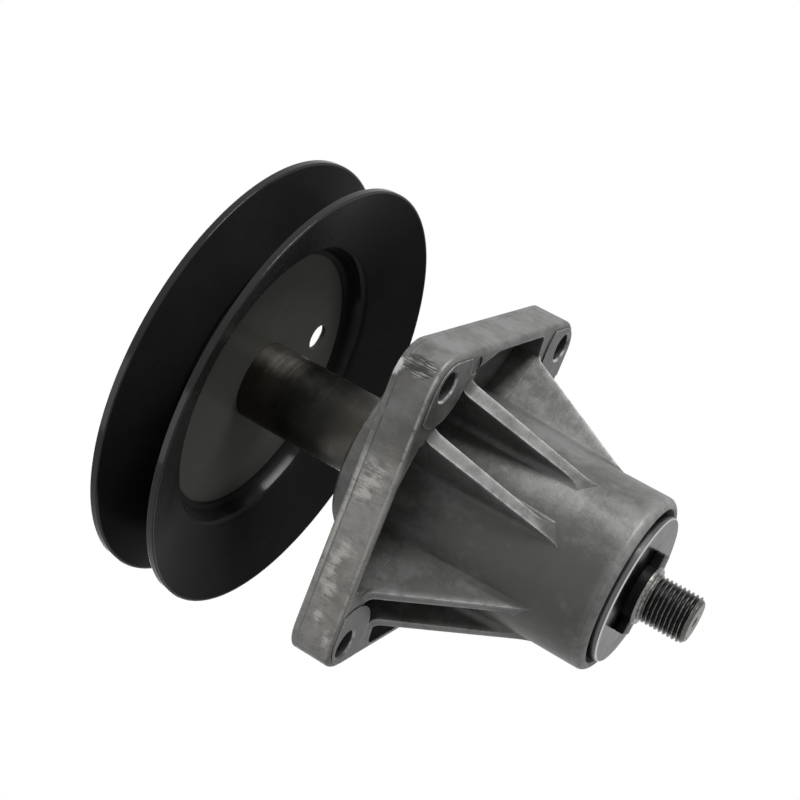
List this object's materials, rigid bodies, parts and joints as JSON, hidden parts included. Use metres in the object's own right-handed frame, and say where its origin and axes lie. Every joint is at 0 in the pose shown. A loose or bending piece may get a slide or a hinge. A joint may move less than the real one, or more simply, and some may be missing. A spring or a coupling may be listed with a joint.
{
  "type": "mower deck spindle",
  "caption": "Mower deck spindle with a ribbed cast housing on a square flange, a V-belt pulley on a long spacer tube, and a threaded blade stud below.",
  "frame": {"origin": "centre of the square flange's deck-side face, on the shaft's axis", "axes": "+Z along the shaft towards the pulley, X and Y along the flange's sides"},
  "size_m": [0.1524, 0.1524, 0.1908],
  "materials": {
    "cast_aluminium": "as cast, with worn edges",
    "bearing_steel": "ground",
    "cage_plastic": "moulded",
    "seal_rubber": "moulded",
    "shaft_steel": "turned and threaded",
    "tube_steel": "oiled dark steel",
    "black_coat": "gloss black coating",
    "plated_steel": "bright plated",
    "ground_steel": "ground bright"
  },
  "bodies": {
    "housing": {"housing": "cast_aluminium", "upper_bearing_outer_ring": "bearing_steel", "upper_bearing_top_seal": "seal_rubber", "upper_bearing_bottom_seal": "seal_rubber", "lower_bearing_outer_ring": "bearing_steel", "lower_bearing_top_seal": "seal_rubber", "lower_bearing_bottom_seal": "seal_rubber"},
    "rotor": {"spindle_shaft": "shaft_steel", "inner_spacer": "tube_steel", "spacer_tube": "tube_steel", "lower_sheave": "black_coat", "upper_sheave": "black_coat", "pulley_washer": "plated_steel", "pulley_nut": "plated_steel", "nose_disc": "ground_steel", "upper_bearing_inner_ring": "bearing_steel", "lower_bearing_inner_ring": "bearing_steel"},
    "upper_cage": {"upper_bearing_cage": "cage_plastic", "upper_bearing_balls": "bearing_steel"},
    "lower_cage": {"lower_bearing_cage": "cage_plastic", "lower_bearing_balls": "bearing_steel"}
  },
  "joints": [
    {"name": "spindle_spin", "type": "hinge", "parent": "housing", "child": "rotor", "pos_m": [0, 0, 0], "axis": [0, 0, 1], "continuous": true},
    {"name": "upper_cage_spin", "type": "hinge", "parent": "housing", "child": "upper_cage", "pos_m": [0, 0, 0.0069], "axis": [0, 0, 1], "continuous": true},
    {"name": "lower_cage_spin", "type": "hinge", "parent": "housing", "child": "lower_cage", "pos_m": [0, 0, -0.06646], "axis": [0, 0, 1], "continuous": true}
  ],
  "couplings": [
    {"joint": "upper_cage_spin", "follows": "spindle_spin", "ratio": 0.3815},
    {"joint": "lower_cage_spin", "follows": "spindle_spin", "ratio": 0.3815}
  ]
}
